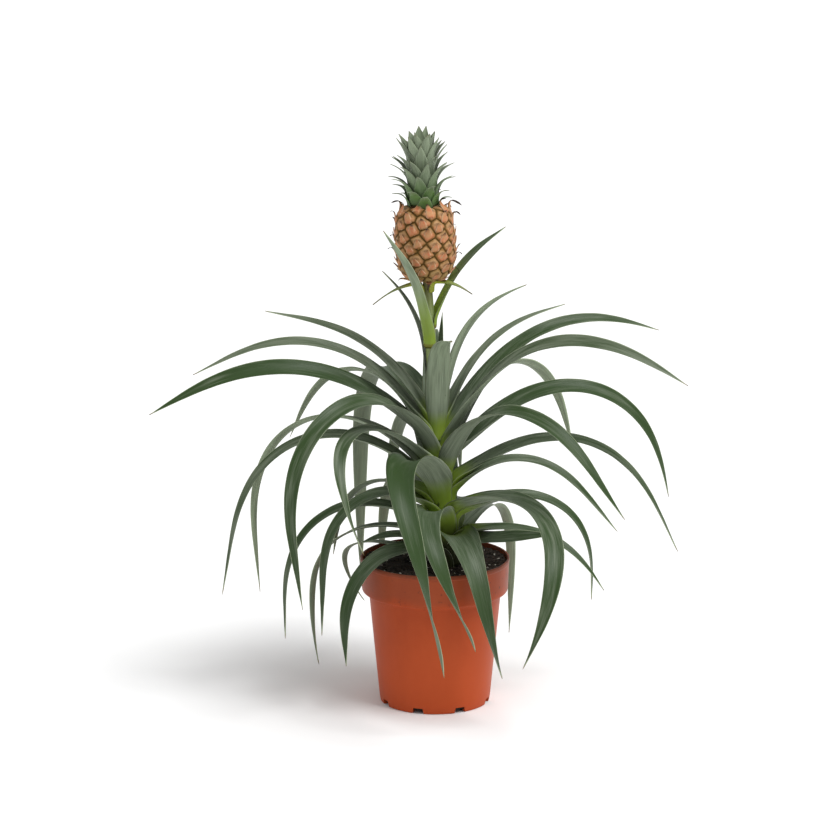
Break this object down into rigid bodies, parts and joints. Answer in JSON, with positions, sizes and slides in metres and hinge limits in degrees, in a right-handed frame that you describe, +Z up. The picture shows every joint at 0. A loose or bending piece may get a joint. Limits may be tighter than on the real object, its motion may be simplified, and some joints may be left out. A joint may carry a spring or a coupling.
{
  "type": "potted pineapple plant",
  "caption": "Young ornamental pineapple plant with arching strap leaves and a small crowned fruit on a stalk, growing in a round plastic nursery pot.",
  "frame": {"origin": "middle of the pot's foot, on the surface it stands on", "axes": "+Z up along the pot's axis, +X to the right seen from the plant's front, -Y towards the front"},
  "size_m": [0.4283, 0.3453, 0.4654],
  "materials": {
    "pot_plastic": "terracotta-orange moulded plastic, semi-matt",
    "potting_soil": "dark peat potting soil with white perlite grains",
    "leaf_green": "waxy green leaf, grey-green underneath, with a pale thin margin",
    "bract_green": "yellow-green bract, satin",
    "stalk_green": "yellow-green stalk, satin",
    "fruit_skin": "salmon-tan eyes with olive-brown seams and papery bracts",
    "crown_green": "grey-green crown leaves, matt"
  },
  "bodies": {
    "root": {"pot": "pot_plastic", "soil": "potting_soil", "stem": "stalk_green", "flower_stalk": "stalk_green", "fruit": "fruit_skin", "crown": "crown_green", "leaf_low_left_back": "leaf_green", "leaf_low_left_stub": "leaf_green", "leaf_low_left_dark": "leaf_green", "leaf_low_left_thin": "leaf_green", "leaf_low_left_long": "leaf_green", "leaf_left_hanging": "leaf_green", "leaf_left_grey": "leaf_green", "leaf_left_wide_arch": "leaf_green", "leaf_left_rear_arch": "leaf_green", "leaf_left_front_arch": "leaf_green", "leaf_left_great_arch": "leaf_green", "leaf_left_high_rear": "leaf_green", "leaf_left_high_dark": "leaf_green", "leaf_left_high_long": "leaf_green", "leaf_left_top": "leaf_green", "leaf_low_right_front": "leaf_green", "leaf_low_right_back": "leaf_green", "leaf_low_right": "leaf_green", "leaf_right_short_arch": "leaf_green", "leaf_right_front_arch": "leaf_green", "leaf_right_thin": "leaf_green", "leaf_right_wide_arch": "leaf_green", "leaf_right_broad": "leaf_green", "leaf_right_high_arch": "leaf_green", "leaf_right_rear_arch": "leaf_green", "leaf_right_high_front": "leaf_green", "leaf_right_high_long": "leaf_green", "leaf_right_top_broad": "leaf_green", "leaf_right_top_thin": "leaf_green", "leaf_front_right": "leaf_green", "leaf_front_middle": "leaf_green", "leaf_front_great": "leaf_green", "leaf_front_upright": "leaf_green", "leaf_back_1": "leaf_green", "leaf_back_2": "leaf_green", "leaf_back_3": "leaf_green", "leaf_back_4": "leaf_green", "leaf_back_5": "leaf_green", "leaf_back_6": "leaf_green", "leaf_back_left_broad": "leaf_green", "leaf_back_7": "leaf_green", "stalk_leaf_rear": "leaf_green", "stalk_leaf_left": "leaf_green", "stalk_leaf_front": "leaf_green", "stalk_leaf_right": "leaf_green", "bract_left": "bract_green", "bract_right": "bract_green"}
  },
  "joints": []
}
